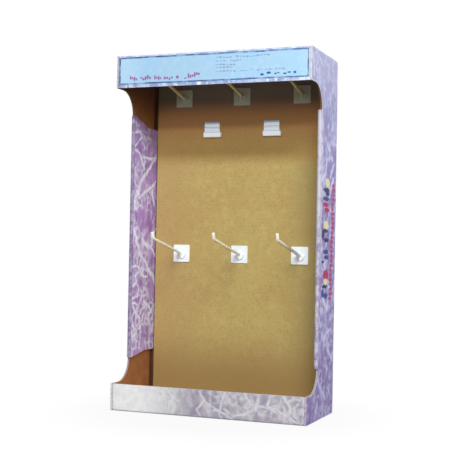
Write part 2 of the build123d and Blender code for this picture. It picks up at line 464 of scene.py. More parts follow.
def maths(tree, kind, *values):
    """One sum on plain numbers."""
    return step(tree, "Math", dict(enumerate(values)), operation=kind)


def times(tree, first, second):
    """One mask laid over another."""
    return maths(tree, "MULTIPLY", first, second)


def cast(tree, place, size, detail=3.0, roughness=0.55):
    """Cloudy variation between 0 and 1, its clouds about size metres across."""
    return step(
        tree, "TexNoise", {"Vector": place, "Scale": 1 / size, "Detail": detail, "Roughness": roughness}
    )


def ramp(tree, value, low, high, to_low=0.0, to_high=1.0):
    """Carries value from low..high to to_low..to_high with soft ends."""
    values = {"Value": value, "From Min": low, "From Max": high, "To Min": to_low, "To Max": to_high}
    return step(tree, "MapRange", values, interpolation_type="SMOOTHSTEP")


def over(tree, amount, under, upper):
    """Lays one colour over another by an amount."""
    return step(tree, "Mix", {0: amount, 6: under, 7: upper}, output=2, data_type="RGBA")


def own_place(tree):
    """Where a point is on its own object, in metres."""
    return step(tree, "TexCoord", {}, output=3)


def parted(tree, place):
    """The three numbers of a place, one for each axis."""
    node = tree.nodes.new("ShaderNodeSeparateXYZ")
    tree.links.new(place, node.inputs[0])
    return node.outputs


def along(tree, place, axis, start, end):
    """How far a point is, 0 to 1, from start to end metres along one axis of its place."""
    return ramp(tree, parted(tree, place)[axis], start, end)


def panel_place(tree, first, second):
    """Where a point is on its object, and where it is on a flat panel, by two of the object's axes."""
    whole = own_place(tree)
    parts = parted(tree, whole)
    return whole, step(tree, "CombineXYZ", {0: parts[first], 1: parts[second]})


def drift(tree, whole, scale, detail, reach):
    """A soft push to all sides, at most half of reach, that makes a drawn line or shape a little loose."""
    cloud = step(tree, "TexNoise", {"Vector": whole, "Scale": scale, "Detail": detail}, output=1)
    centred = step(tree, "VectorMath", {0: cloud, 1: (0.5, 0.5, 0.5)}, operation="SUBTRACT")
    return step(tree, "VectorMath", {0: centred, "Scale": reach}, operation="SCALE")


def pushed(tree, place, push):
    """A place moved by a push."""
    return step(tree, "VectorMath", {0: place, 1: push}, operation="ADD")


def leaning(tree, place, lean, stretch):
    """A place turned and stretched, so that the clouds drawn on it lean and lengthen."""
    turned = step(tree, "VectorRotate", {"Vector": place, "Rotation": lean}, rotation_type="EULER_XYZ")
    return step(tree, "VectorMath", {0: turned, 1: stretch}, operation="MULTIPLY")


def vein_kit():
    """The node group that draws one straight piece of a vein, as wide at its ends as along it."""
    kit = bpy.data.node_groups.new("vein_piece", "ShaderNodeTree")
    for name in ("First", "Second", "Cosine", "Sine", "Minus Sine", "Along", "Aside", "Half", "Width"):
        kit.interface.new_socket(name, in_out="INPUT", socket_type="NodeSocketFloat")
    kit.interface.new_socket("Amount", in_out="OUTPUT", socket_type="NodeSocketFloat")
    given = kit.nodes.new("NodeGroupInput").outputs
    done = kit.nodes.new("NodeGroupOutput")
    forward = maths(kit, "MULTIPLY_ADD", given["First"], given["Cosine"], given["Along"])
    forward = maths(kit, "MULTIPLY_ADD", given["Second"], given["Sine"], forward)
    beyond = maths(kit, "SUBTRACT", maths(kit, "ABSOLUTE", forward), given["Half"])
    beyond = maths(kit, "MAXIMUM", beyond, 0.0)
    sideways = maths(kit, "MULTIPLY_ADD", given["First"], given["Minus Sine"], given["Aside"])
    sideways = maths(kit, "MULTIPLY_ADD", given["Second"], given["Cosine"], sideways)
    distance = maths(kit, "SQRT", maths(kit, "MULTIPLY_ADD", sideways, sideways, times(kit, beyond, beyond)))
    near = maths(kit, "DIVIDE", distance, given["Width"])
    kit.links.new(ramp(kit, near, 0.15, 1.0, 1.0, 0.0), done.inputs["Amount"])
    return kit


vein_piece = vein_kit()


def veins(tree, place, lines):
    """Draws long veins: each is its half width and the points that it runs through, in millimetres."""
    first, second, _ = parted(tree, place)
    drawn = 0.0
    for width, points in lines:
        for start, end in zip(points, points[1:]):
            whole = Vector(end) - Vector(start)
            onward = whole.normalized()
            middle = (Vector(start) + Vector(end)) / 2 * mm
            node = tree.nodes.new("ShaderNodeGroup")
            node.node_tree = vein_piece
            tree.links.new(first, node.inputs["First"])
            tree.links.new(second, node.inputs["Second"])
            for name, value in (
                ("Cosine", onward.x), ("Sine", onward.y), ("Minus Sine", -onward.y),
                ("Along", -middle.dot(onward)), ("Aside", middle.x * onward.y - middle.y * onward.x),
                ("Half", whole.length / 2 * mm), ("Width", width * mm),
            ):
                node.inputs[name].default_value = value
            drawn = maths(tree, "MAXIMUM", drawn, node.outputs["Amount"])
    return drawn


def flute_wave(tree, run):
    """The wave of the fluted paper, for a distance run across its flutes."""
    return maths(tree, "SINE", times(tree, run, 2 * math.pi / flute_pitch))


def flat_sheet(tree):
    """Where a point is on the unfolded blank, in metres."""
    return step(tree, "UVMap", {}, uv_map="flat_sheet")


def bumped(tree, shader, strength, depth, height):
    """Gives a finish its relief."""
    bump = step(tree, "Bump", {"Strength": strength, "Distance": depth, "Height": height})
    tree.links.new(bump, shader.inputs["Normal"])


# How fine the net of every marbled print is, and how far its lines and veins wander
net_cells_per_metre = 72.0
wander_per_metre = 55.0
wander_reach = 10 * mm


def marble(name, axes, ground, deep, light, vein, lines=(), net=0.0, streaks=0.0, cloud=16 * mm, flat=0.5):
    """Litho print of a clouded marble: mottled ground, leaning streaks, a broken net and long veins."""
    material, tree, shader = new_finish(name, 0.5, 0.12)
    whole, place = panel_place(tree, *axes)
    push = drift(tree, whole, wander_per_metre, 3.0, wander_reach)
    warped_whole = pushed(tree, whole, push)
    clouded = leaning(tree, warped_whole, (0.35, 0.3, 0), (1.0, 1.0, flat))
    colour = over(tree, ramp(tree, cast(tree, clouded, 1.7 * cloud, 4.0), 0.4, 0.6), ground, deep)
    colour = over(tree, ramp(tree, cast(tree, clouded, cloud, 5.0, 0.6), 0.48, 0.66, 0.0, 0.9), colour, light)
    if streaks:
        streak = ramp(tree, cast(tree, clouded, 0.6 * cloud, 4.0, 0.6), 0.55, 0.68)
        colour = over(tree, times(tree, streak, streaks), colour, vein)
    if net:
        cells = {"Vector": warped_whole, "Scale": net_cells_per_metre}
        edge = step(tree, "TexVoronoi", cells, feature="DISTANCE_TO_EDGE")
        patches = ramp(tree, cast(tree, whole, 52 * mm, 2.0), 0.42, 0.56)
        broken = ramp(tree, cast(tree, warped_whole, 9 * mm, 3.0), 0.34, 0.56)
        net_mask = times(tree, times(tree, ramp(tree, edge, 0.05, 0.3, 1.0, 0.0), patches), broken)
        colour = over(tree, times(tree, net_mask, net), colour, vein)
        speck = step(tree, "TexVoronoi", cells)
        speck_mask = times(tree, times(tree, ramp(tree, speck, 0.1, 0.28, 1.0, 0.0), patches), net)
        colour = over(tree, times(tree, speck_mask, 0.6), colour, deep)
    if lines:
        feather = ramp(tree, cast(tree, whole, 7 * mm, 3.0), 0.3, 0.6, 0.45, 1.0)
        drawn = veins(tree, pushed(tree, place, push), lines)
        colour = over(tree, times(tree, drawn, feather), colour, vein)
    return material, tree, shader, whole, place, colour


def scuffed(finish, scuff=paint(228, 222, 226), amount=0.75):
    """Finishes a print: worn pale along its folds and cut edges, with the flutes showing faintly through."""
    material, tree, shader, whole, place, colour = finish
    worn = step(tree, "Attribute", {}, output=2, attribute_name="worn")
    mask = times(tree, ramp(tree, worn, 0.15, 0.9), ramp(tree, cast(tree, whole, 5 * mm, 4.0), 0.35, 0.62))
    colour = over(tree, times(tree, mask, amount), colour, scuff)
    tree.links.new(colour, shader.inputs["Base Color"])
    bumped(tree, shader, 0.12, 0.1 * mm, flute_wave(tree, parted(tree, flat_sheet(tree))[0]))
    return material


def shape_kit():
    """The node group that draws one small rounded shape."""
    kit = bpy.data.node_groups.new("shape_piece", "ShaderNodeTree")
    for name in ("Place", "Middle", "Half"):
        kit.interface.new_socket(name, in_out="INPUT", socket_type="NodeSocketVector")
    kit.interface.new_socket("Amount", in_out="OUTPUT", socket_type="NodeSocketFloat")
    given = kit.nodes.new("NodeGroupInput").outputs
    done = kit.nodes.new("NodeGroupOutput")
    away = step(kit, "VectorMath", {0: given["Place"], 1: given["Middle"]}, operation="SUBTRACT")
    shared = step(kit, "VectorMath", {0: away, 1: given["Half"]}, operation="DIVIDE")
    reach = step(kit, "VectorMath", {0: shared}, output=1, operation="LENGTH")
    kit.links.new(ramp(kit, reach, 0.82, 1.05, 1.0, 0.0), done.inputs["Amount"])
    return kit


shape_piece = shape_kit()


def with_shapes(finish, shapes, loose):
    """Prints small rounded shapes on a finish: each is a colour, its middle and half sizes in millimetres."""
    material, tree, shader, whole, place, colour = finish
    warped = pushed(tree, place, drift(tree, whole, 160.0, 2.0, loose))
    for shade, middle, half in shapes:
        node = tree.nodes.new("ShaderNodeGroup")
        node.node_tree = shape_piece
        tree.links.new(warped, node.inputs["Place"])
        node.inputs["Middle"].default_value = (middle[0] * mm, middle[1] * mm, 0)
        node.inputs["Half"].default_value = (half[0] * mm, half[1] * mm, 1)
        colour = over(tree, node.outputs["Amount"], colour, shade)
    return material, tree, shader, whole, place, colour


# The long veins of each print, laid out on the panel that they cross
wall_veins = [
    (6.8, ((-10, 488), (12, 477), (30, 462), (55, 445))),
    (5.4, ((52, 500), (38, 493))),
    (5.4, ((43, 610), (52, 600))),
    (6.2, ((53, 569), (41, 559), (34, 550))),
    (5.9, ((-59, 587), (-41, 581))),
    (5.4, ((-47, 575), (-24, 562), (0, 561))),
    (5.4, ((-33, 607), (-22, 600))),
    (6.8, ((-80, 614), (-71, 593), (-65, 577))),
    (5.4, ((64, 436), (40, 412))),
    (5.4, ((8, 202), (21, 191), (40, 179))),
    (5.9, ((70, 159), (34, 142), (15, 135), (15, 123), (41, 114), (69, 95))),
    (5.4, ((41, 82), (26, 76), (24, 64))),
    (6.8, ((-21, 69), (10, 43), (36, 26), (53, 13), (69, 11))),
    (5.9, ((-44, 46), (-21, 69))),
    (4.1, ((20, 51), (28, 43))),
    (4.1, ((40, 51), (57, 38))),
    (4.9, ((-15, 41), (6, 33))),
    (4.9, ((-62, 44), (-43, 38))),
]
lining_veins = [
    (6.6, ((68, 455), (49, 438), (32, 421), (12, 411), (4, 394), (-9, 378), (-19, 362), (-27, 345))),
    (4.6, ((-27, 345), (-28, 332), (-16, 315), (-1, 299))),
    (4.8, ((70, 410), (55, 397), (28, 389), (15, 381))),
    (4.4, ((55, 397), (59, 384), (66, 364))),
    (3.8, ((74, 321), (63, 309), (60, 292), (52, 282))),
    (3.8, ((17, 304), (25, 296), (56, 285))),
    (3.8, ((6, 451), (16, 439), (22, 430))),
    (3.4, ((21, 451), (37, 449), (68, 455))),
    (3.6, ((-28, 488), (1, 497), (9, 488), (-9, 474), (-23, 465), (-1, 457), (10, 448))),
    (3.4, ((35, 492), (43, 485))),
    (6.6, ((-8, 298), (4, 286), (12, 271), (32, 259), (46, 245), (66, 232), (77, 219))),
    (4.8, ((21, 299), (41, 286), (64, 281), (75, 271))),
    (3.8, ((-27, 250), (1, 251), (11, 243), (-8, 233), (2, 220), (-16, 215))),
    (3.6, ((20, 252), (23, 242), (14, 236), (37, 231))),
    (3.8, ((2, 220), (9, 209), (3, 195), (-18, 193), (-24, 188), (1, 181))),
    (3.6, ((-12, 178), (-5, 166), (14, 158), (12, 147), (20, 137))),
    (4.6, ((32, 187), (49, 177), (63, 166), (53, 161))),
    (3.8, ((-13, 143), (3, 131), (-9, 124), (-15, 119))),
    (3.4, ((19, 123), (17, 111), (14, 100))),
    (3.4, ((59, 115), (52, 108))),
]
back_veins = [
    (5.0, ((-170, 560), (-120, 520), (-96, 470), (-50, 430), (-20, 372), (24, 340), (60, 290))),
    (4.0, ((-96, 470), (-110, 420), (-92, 372))),
    (4.2, ((60, 290), (110, 270), (170, 216))),
    (4.0, ((60, 290), (52, 236), (84, 190), (92, 140))),
    (5.0, ((168, 588), (120, 552), (92, 500), (36, 476), (4, 440))),
    (3.8, ((92, 500), (118, 452), (160, 430))),
    (5.0, ((-172, 300), (-128, 262), (-92, 206), (-40, 170), (-16, 110), (30, 76), (80, 30))),
    (3.8, ((-92, 206), (-116, 150), (-160, 120))),
    (3.8, ((-16, 110), (-60, 66), (-110, 40))),
]
lip_veins = [
    (2.8, ((36, 46), (30, 26), (26, 10), (32, 0))),
    (3.4, ((96, 44), (92, 22), (70, 10), (50, 8), (34, 18))),
    (2.5, ((70, 46), (84, 30), (110, 26), (132, 14))),
    (3, ((116, 46), (112, 28), (136, 18), (168, 2))),
    (2.7, ((140, 44), (152, 28), (148, 12), (156, 0))),
    (2.7, ((-10, 44), (0, 30), (-14, 16), (-6, 0))),
    (3.2, ((2, 26), (30, 12), (52, 2))),
    (2.7, ((-70, 46), (-58, 30), (-66, 12))),
]
# Rounded shapes and a column of dashes that are printed on the side walls
yellow = paint(214, 210, 158)
navy = paint(18, 14, 68)
blue = paint(28, 54, 120)
red = paint(164, 26, 76)
rose = paint(152, 58, 112)
wall_shapes = [
    (yellow, (24, 402), (14, 8.3)),
    (navy, (18, 389), (20.5, 4.2)),
    (navy, (24, 383), (10.8, 4.4)),
    (blue, (16, 374), (19.4, 4.2)),
    (red, (14, 364), (18.4, 4.4)),
    (red, (21, 355), (16.2, 4.9)),
    (yellow, (19, 329), (16.2, 7.8)),
    (navy, (13, 319), (19.4, 3.6)),
    (navy, (0, 311), (7.6, 9.1)),
    (navy, (20, 303), (16.2, 3.9)),
    (blue, (19, 283), (17.3, 4.4)),
    (blue, (22, 274), (15.1, 3.9)),
    (navy, (0, 266), (8.6, 2.9)),
    (red, (20, 244), (18.4, 8.8)),
    (yellow, (20, 232), (14, 5.7)),
    (navy, (13, 224), (17.3, 3.6)),
    (blue, (2, 213), (7.6, 7.8)),
    (blue, (20, 208), (14, 5.2)),
]
dash_pitch = 8.2
for number in range(25):
    aside = 62 - 0.5 * number + 2 * math.sin(number * 0.9)
    wide = 10 + 2 * math.sin(number * 2.3)
    high = 3.9 + 0.5 * math.sin(number * 1.7)
    wall_shapes.append((rose, (aside, 399 - dash_pitch * number), (wide, high)))


def wall_print():
    """The side walls' print: bluer and darker at the top, more purple at the foot, rubbed along its front."""
    material, tree, shader, whole, place, colour = marble(
        "wall_print", (1, 2), paint(142, 134, 186), paint(112, 94, 156), paint(168, 164, 210),
        paint(218, 220, 242), wall_veins, net=0.5, streaks=0.6, cloud=32 * mm, flat=1.0
    )
    leant = leaning(tree, whole, (0.5, 0, 0), (1.0, 1.0, 0.7))
    pale = ramp(tree, cast(tree, leant, 20 * mm, 4.0), 0.55, 0.62)
    colour = over(tree, times(tree, pale, 0.75), colour, paint(212, 214, 238))
    pockets = ramp(tree, cast(tree, whole, 28 * mm, 4.0), 0.52, 0.59)
    colour = over(tree, times(tree, pockets, 0.75), colour, paint(132, 102, 158))
    bluer = over(tree, 0.5, colour, paint(144, 154, 206))
    colour = over(tree, along(tree, place, 1, 0.32, 0.6), colour, bluer)
    shaded = over(tree, 0.33, colour, paint(30, 34, 84))
    colour = over(tree, along(tree, place, 1, 0.42, 0.58), colour, shaded)
    dusky = over(tree, 0.4, colour, paint(108, 90, 146))
    colour = over(tree, along(tree, place, 1, 0.3, 0.04), colour, dusky)
    rubbed = ramp(tree, cast(tree, whole, 10 * mm, 4.0), 0.36, 0.56)
    roll_edge = front_middle + roll_setback
    for axis, start, full in ((0, roll_edge + 16 * mm, roll_edge + 4 * mm), (1, 0.2, 0.34), (1, 0.55, 0.5)):
        rubbed = times(tree, rubbed, along(tree, place, axis, start, full))
    colour = over(tree, times(tree, rubbed, 0.8), colour, paint(214, 213, 226))
    return with_shapes((material, tree, shader, whole, place, colour), wall_shapes, 4 * mm)


def roll_print():
    """The narrow folds of the roll: purple like the lining on the left, rubbed nearly white on the right."""
    material, tree, shader, whole, place, colour = marble(
        "roll_print", (1, 2), paint(142, 133, 168), paint(128, 114, 156), paint(158, 150, 182),
        paint(182, 178, 198), streaks=0.6, cloud=12 * mm
    )
    rubbed = ramp(tree, cast(tree, whole, 9 * mm, 4.0), 0.42, 0.6)
    colour = over(tree, times(tree, rubbed, 0.8), colour, paint(192, 190, 199))
    clouds = cast(tree, whole, 11 * mm, 4.0)
    whiter = times(tree, ramp(tree, clouds, 0.3, 0.55), along(tree, place, 1, 0.24, 0.4))
    colour = over(tree, times(tree, whiter, 0.75), colour, paint(194, 193, 200))
    purple = over(tree, ramp(tree, clouds, 0.42, 0.62), paint(118, 96, 138), paint(156, 146, 176))
    colour = over(tree, along(tree, whole, 0, 0.05, -0.05), colour, purple)
    return material, tree, shader, whole, place, colour


def lip_print():
    """The lip's print is greyer than the walls' and has faded nearly to white towards its left end."""
    material, tree, shader, whole, place, colour = marble(
        "lip_print", (0, 2), paint(176, 170, 181), paint(158, 147, 169), paint(192, 189, 196),
        paint(214, 214, 217), lip_veins, net=0.7, cloud=13 * mm
    )
    mottled = ramp(tree, cast(tree, whole, 12 * mm, 4.0), 0.4, 0.65)
    faded = over(tree, mottled, paint(246, 246, 246), paint(236, 236, 237))
    colour = over(tree, along(tree, place, 0, -0.01, -0.14), colour, faded)
    return material, tree, shader, whole, place, colour


header_finish = scuffed(
    marble(
        "header_print", (0, 2), paint(176, 194, 226), paint(142, 160, 202), paint(212, 224, 246),
        paint(232, 238, 246), streaks=0.9, cloud=13 * mm
    ),
    paint(222, 230, 240), 0.4
)
plain_finish = scuffed(
    marble(
        "outer_print", (0, 2), paint(146, 138, 188), paint(118, 100, 160), paint(170, 166, 210),
        paint(216, 216, 238), back_veins, net=0.4, streaks=0.5, cloud=40 * mm, flat=1.0
    )
)
wall_finish = scuffed(wall_print(), paint(218, 216, 230), 0.6)
roll_finish = scuffed(roll_print(), paint(190, 184, 202), 0.3)
lining_finish = scuffed(
    marble(
        "lining_print", (1, 2), paint(180, 150, 210), paint(154, 120, 186), paint(200, 180, 227),
        paint(230, 238, 255), lining_veins, net=0.75, cloud=14 * mm
    ),
    paint(196, 186, 206), 0.5
)
lip_finish = scuffed(lip_print(), paint(214, 212, 216))


def rim_paper():
    """The side walls' front edges: cream beside the header, lilac beside the lip, faded at the left."""
    material, tree, shader = new_finish("rim_paper", 0.6, 0.3)
    whole = own_place(tree)
    mottled = ramp(tree, cast(tree, whole, 8 * mm, 4.0), 0.38, 0.65)
    left = along(tree, whole, 0, 0.05, -0.05)
    cream = over(tree, mottled, paint(210, 207, 205), paint(192, 188, 190))
    lilac_grey = over(tree, mottled, paint(176, 172, 190), paint(190, 190, 200))
    high = over(tree, left, cream, lilac_grey)
    lilac = over(tree, mottled, paint(158, 146, 176), paint(196, 192, 204))
    faded = over(tree, mottled, paint(224, 224, 224), paint(208, 208, 210))
    low = over(tree, left, lilac, faded)
    colour = over(tree, along(tree, whole, 2, 0.2, 0.4), low, high)
    tree.links.new(colour, shader.inputs["Base Color"])
    bumped(tree, shader, 0.3, 0.2 * mm, mottled)
    return material


rim_finish = rim_paper()


def kraft(name, base, red_shade, pale, flutes, shade_and_stains=()):
    """Unbleached kraft liner: mottled brown, with short fibres, and ridges where the flutes show through.

    The flutes are counted along the axis that flutes gives. Each entry of the last argument is a painted
    shade
    or a tint: its colour, its strength, its axis, and where along that axis it starts and is full."""
    material, tree, shader = new_finish(name, 0.8, 0.2)
    whole = own_place(tree)
    colour = over(tree, ramp(tree, cast(tree, whole, 110 * mm, 3.0), 0.36, 0.64), base, red_shade)
    colour = over(tree, ramp(tree, cast(tree, whole, 18 * mm, 4.0), 0.45, 0.7, 0.0, 0.6), colour, pale)
    for tint, strength, axis, start, full in shade_and_stains:
        colour = over(tree, times(tree, along(tree, whole, axis, start, full), strength), colour, tint)
    dark_fibre = over(tree, 0.5, base, paint(96, 66, 30))
    fine = cast(tree, whole, 3.4 * mm, 3.0, 0.6)
    colour = over(tree, ramp(tree, fine, 0.48, 0.7, 0.0, 0.4), colour, dark_fibre)
    drawn_out = step(tree, "VectorMath", {0: whole, 1: (0.35, 1.0, 2.2)}, operation="MULTIPLY")
    fibre = cast(tree, drawn_out, 1.6 * mm, 2.0, 0.7)
    colour = over(tree, ramp(tree, fibre, 0.56, 0.8, 0.0, 0.5), colour, dark_fibre)
    wave = flute_wave(tree, parted(tree, whole)[flutes])
    broken = ramp(tree, cast(tree, whole, 34 * mm, 2.0), 0.42, 0.66)
    colour = over(tree, times(tree, ramp(tree, wave, 0.1, 1.0, 0.0, 0.12), broken), colour, dark_fibre)
    tree.links.new(colour, shader.inputs["Base Color"])
    grain = maths(tree, "ADD", times(tree, fibre, 0.8), times(tree, wave, broken))
    bumped(tree, shader, 0.2, 0.12 * mm, grain)
    return material


# Inside, the kraft is painted darker as shade: in the corner beside the hook panel and up under the top
panel_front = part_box("hook_panel")[0].y
inside_finish = kraft(
    "inside_kraft", paint(158, 104, 62), paint(144, 90, 54), paint(170, 120, 76), 1,
    (
        (paint(72, 46, 32), 0.9, 1, panel_front - 8 * mm, panel_front - 2 * mm),
        (paint(104, 76, 60), 0.85, 2, 0.525, 0.585),
    )
)


def cut_edge():
    """The die-cut edge of the board: two liners, and the fluted paper between them that the cut crosses."""
    material, tree, shader = new_finish("cut_edge", 0.85, 0.2)
    across = step(tree, "Attribute", {}, output=2, attribute_name="across")
    sheet = flat_sheet(tree)
    run = maths(tree, "ADD", parted(tree, sheet)[0], times(tree, cast(tree, sheet, 12 * mm, 2.0), 2 * mm))
    away = maths(tree, "ABSOLUTE", maths(tree, "SUBTRACT", across, times(tree, flute_wave(tree, run), 0.68)))
    fluted = ramp(tree, away, 0.12, 0.26, 1.0, 0.0)
    liner = ramp(tree, maths(tree, "ABSOLUTE", across), 0.72, 0.8)
    paper = maths(tree, "MAXIMUM", fluted, liner)
    rubbed = along(tree, own_place(tree), 2, 0.45, 0.3)
    gap = over(tree, rubbed, paint(92, 68, 46), paint(140, 128, 124))
    colour = over(tree, paper, gap, over(tree, rubbed, paint(146, 114, 80), paint(200, 194, 202)))
    colour = over(tree, ramp(tree, across, 0.86, 0.92), colour, paint(224, 218, 224))
    tree.links.new(colour, shader.inputs["Base Color"])
    bumped(tree, shader, 0.5, 0.4 * mm, paper)
    return material


edge_finish = cut_edge()
for material in (
    header_finish, plain_finish, lip_finish, wall_finish, roll_finish, lining_finish, inside_finish,
    edge_finish, rim_finish,
):
    casing_mesh.materials.append(material)

# Header label
# Printed card stuck flat on the header: a clouded pale blue field in a dark blue frame that is drawn with a
# loose line, and rows of small plain marks.
label_blue = paint(158, 199, 230)
label_grey = paint(161, 198, 225)
label_pale = paint(180, 214, 238)
frame_right, frame_low, frame_high = 172.0, 569.9, 615.3
frame_corners = ((-1, frame_low), (1, frame_low), (1, frame_high), (-1, frame_high), (-1, frame_low))
label_frame = [(2.3, [(side * frame_right, level) for side, level in frame_corners])]


def label_print():
    """Clouded pale blue, a little greyer in places and paler at both ends, in a loosely drawn dark frame."""
    material, tree, shader = new_finish("label_card", 0.38, 0.4)
    whole, place = panel_place(tree, 0, 2)
    colour = over(tree, ramp(tree, cast(tree, whole, 60 * mm, 3.0), 0.36, 0.64), label_blue, label_grey)
    colour = over(tree, ramp(tree, cast(tree, whole, 9 * mm, 4.0), 0.45, 0.75, 0.0, 0.45), colour, label_pale)
    colour = over(tree, times(tree, along(tree, place, 0, 0.15, 0.17), 0.2), colour, label_pale)
    colour = over(tree, times(tree, along(tree, place, 0, -0.11, -0.17), 0.8), colour, label_pale)
    drawn = veins(tree, pushed(tree, place, drift(tree, whole, 40.0, 4.0, 2.2 * mm)), label_frame)
    pressed = ramp(tree, cast(tree, whole, 16 * mm, 4.0), 0.34, 0.56, 0.4, 1.0)
    ink = over(
        tree, ramp(tree, cast(tree, whole, 22 * mm, 2.0), 0.42, 0.58), paint(62, 100, 152), paint(62, 62, 128)
    )
    colour = over(tree, times(tree, drawn, pressed), colour, ink)
    return material, tree, shader, whole, place, colour


def marks(shade, spans, level, high, pitch):
    """A row of small plain marks, rising and falling a little, with one group of marks for each span."""
    row = []
    for start, end in spans:
        count = max(1, round((end - start) / pitch))
        for i in range(count):
            x = start + (end - start) * (i + 0.5) / count
            wide = 0.46 * (end - start) / count
            tall = high / 2 * (0.7 + 0.3 * math.sin(x * 2.7))
            row.append((shade, (x, level + 0.2 * high * math.sin(x * 1.9)), (wide, tall)))
    return row


label_rose = paint(146, 92, 150)
label_dark = paint(22, 84, 150)
label_faint = paint(134, 156, 192)
label_marks = marks(label_rose, [(-153, -138), (-133, -112), (-106, -92)], 579, 9, 4.0)
label_marks += marks(label_rose, [(-88, -70), (-65, -59), (-50, -44)], 577, 6, 4.2)
label_marks += marks(label_rose, [(-43, -20)], 580.5, 10, 4.0)
label_marks += marks(label_dark, [(88, 96), (99, 108), (113, 123), (128, 143), (146, 152)], 577, 6, 6.4)
for level, spans in (
    (608, [(8, 38), (44, 106)]),
    (601.8, [(8, 28), (34, 56)]),
    (595.4, [(8, 45)]),
    (590.4, [(8, 40)]),
    (584.2, [(8, 46), (52, 66), (71, 77), (82, 93), (96, 109), (113, 132)]),
):
    label_marks += marks(label_faint, spans, level, 3.4, 6.0)
label_finish, label_tree, label_shader, *_, label_colour = with_shapes(label_print(), label_marks, 1.6 * mm)
label_tree.links.new(label_colour, label_shader.inputs["Base Color"])
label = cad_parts["header_label"]
label.data.materials.clear()
label.data.materials.append(label_finish)

# Hook panel
# A loose sheet of unprinted kraft board that stands in the casing and carries the hooks in six slots. Its
# flutes run across the stand.
panel_kraft = kraft(
    "panel_kraft", paint(192, 170, 105), paint(189, 162, 100), paint(201, 180, 118), 2,
    (
        # Redder towards the left, then painted shade along the right edge, where the right wall shades the
        # panel
        (paint(178, 146, 94), 0.6, 0, -0.03, -0.15),
        (paint(156, 139, 88), 0.7, 0, 0.06, 0.15),
        # Painted shade up under the header, in steps: redder lower down, greyer at the top
        (paint(188, 150, 88), 0.85, 2, 0.43, 0.47),
        (paint(188, 130, 84), 0.85, 2, 0.475, 0.53),
        (paint(142, 133, 120), 0.9, 2, 0.53, 0.57),
        # Darker and browner towards the foot
        (paint(158, 130, 80), 0.85, 2, 0.15, 0.04),
    )
)
hook_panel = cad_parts["hook_panel"]
hook_panel.data.materials.clear()
hook_panel.data.materials.append(panel_kraft)

# Hooks
# Six hooks moulded in one piece each: a square plate that bears on the panel, a quarter-turn key that grips
# behind it, a half-round boss with a web, and a slender shaft that rises to a turned-up, rounded end.
plate_side = 32.0 * mm
plate_thickness = 2.0 * mm
plate_corner = 2.0 * mm
plate_rounding = 0.6 * mm
back_rounding = 0.2 * mm
hold = 0.05 * mm
neck_radius = 3.8 * mm
key_bar = (7.6 * mm, 26.6 * mm)
key_thickness = 2.4 * mm
panel_thickness = 3.0 * mm
boss_radius = 10.0 * mm
web_half = 1.0 * mm
web_profile = ((-1.6, 0.0), (-15.0, 3.0), (-9.4, -4.4), (-4.4, -9.0), (-1.6, -9.0))
shaft_radius = 2.8 * mm
shaft_corners = ((-1.0, 0.0), (-126.5, 25.5), (-129.1, 34.5))
shaft_bend = 6.0 * mm
shaft_sides = 20
shaft_bend_steps = 8
shaft_end_steps = 6
root_flare = ((0.0, 4.7), (1.4, 4.4), (2.4, 3.9), (3.8, 3.45), (5.6, 3.1), (8.4, 2.85))
boss_levels = ((1.5, 0.0), (4.2, 0.07), (4.42, 0.085), (4.5, 0.11), (4.5, 0.118))
boss_sides = 24
web_slices = ((-1.0, 0.94), (-0.7, 1.0), (0.7, 1.0), (1.0, 0.94))
rise_shares = (0.12, 0.3, 0.5, 0.7, 0.9, 1.0)
corner_steps = 6
rounding_steps = 4


def skin(rings):
    """A closed skin through a row of closed rings, with a cap at each end."""
    shell = bmesh.new()
    laid = [[shell.verts.new(point) for point in ring] for ring in rings]
    for near, far in zip(laid, laid[1:]):
        for i in range(len(near)):
            shell.faces.new((near[i - 1], near[i], far[i], far[i - 1]))
    shell.faces.new(laid[0])
    shell.faces.new(laid[-1][::-1])
    bmesh.ops.recalc_face_normals(shell, faces=shell.faces)
    return shell


def rounded_outline(wide, high, radius, y):
    """A ring in the plane of the panel: a rectangle with rounded corners."""
    ring = []
    for corner in range(4):
        x_side = (1, -1, -1, 1)[corner]
        z_side = (1, 1, -1, -1)[corner]
        for i in range(corner_steps + 1):
            angle = math.pi / 2 * (corner + i / corner_steps)
            x = x_side * (wide / 2 - radius) + radius * math.cos(angle)
            z = z_side * (high / 2 - radius) + radius * math.sin(angle)
            ring.append((x, y, z))
    return ring


def moulded(wide, high, radius, back, front, back_round, front_round):
    """A flat moulded block between two depths, with its back and front edges rounded."""
    levels = [(back, back_round + hold), (back, back_round), (back - back_round, 0.0)]
    for i in range(rounding_steps + 1):
        angle = math.pi / 2 * i / rounding_steps
        levels.append((front + front_round * (1 - math.sin(angle)), front_round * (1 - math.cos(angle))))
    levels.append((front, front_round + hold))
    return skin(
        [rounded_outline(wide - 2 * inset, high - 2 * inset, radius - inset, y) for y, inset in levels]
    )


def boss_shell():
    """The half-round boss below the shaft, drawn in a little towards its front."""
    rings = []
    for y, shrink in boss_levels:
        ring = []
        for i in range(boss_sides + 1):
            angle = math.pi + math.pi * i / boss_sides
            x = boss_radius * (1 - shrink) * math.cos(angle)
            z = boss_radius * (1 - shrink) * math.sin(angle) - boss_radius * shrink / 2
            ring.append((x, -y * mm, z))
        rings.append(ring)
    return skin(rings)


def web_shell():
    """The thin web that carries the shaft from below."""
    corners = [Vector(corner) for corner in web_profile]
    middle = sum(corners, Vector((0, 0))) / len(corners)
    rings = []
    for x, share in web_slices:
        drawn_in = [(middle + (corner - middle) * share) * mm for corner in corners]
        rings.append([(x * web_half, point.x, point.y) for point in drawn_in])
    return skin(rings)


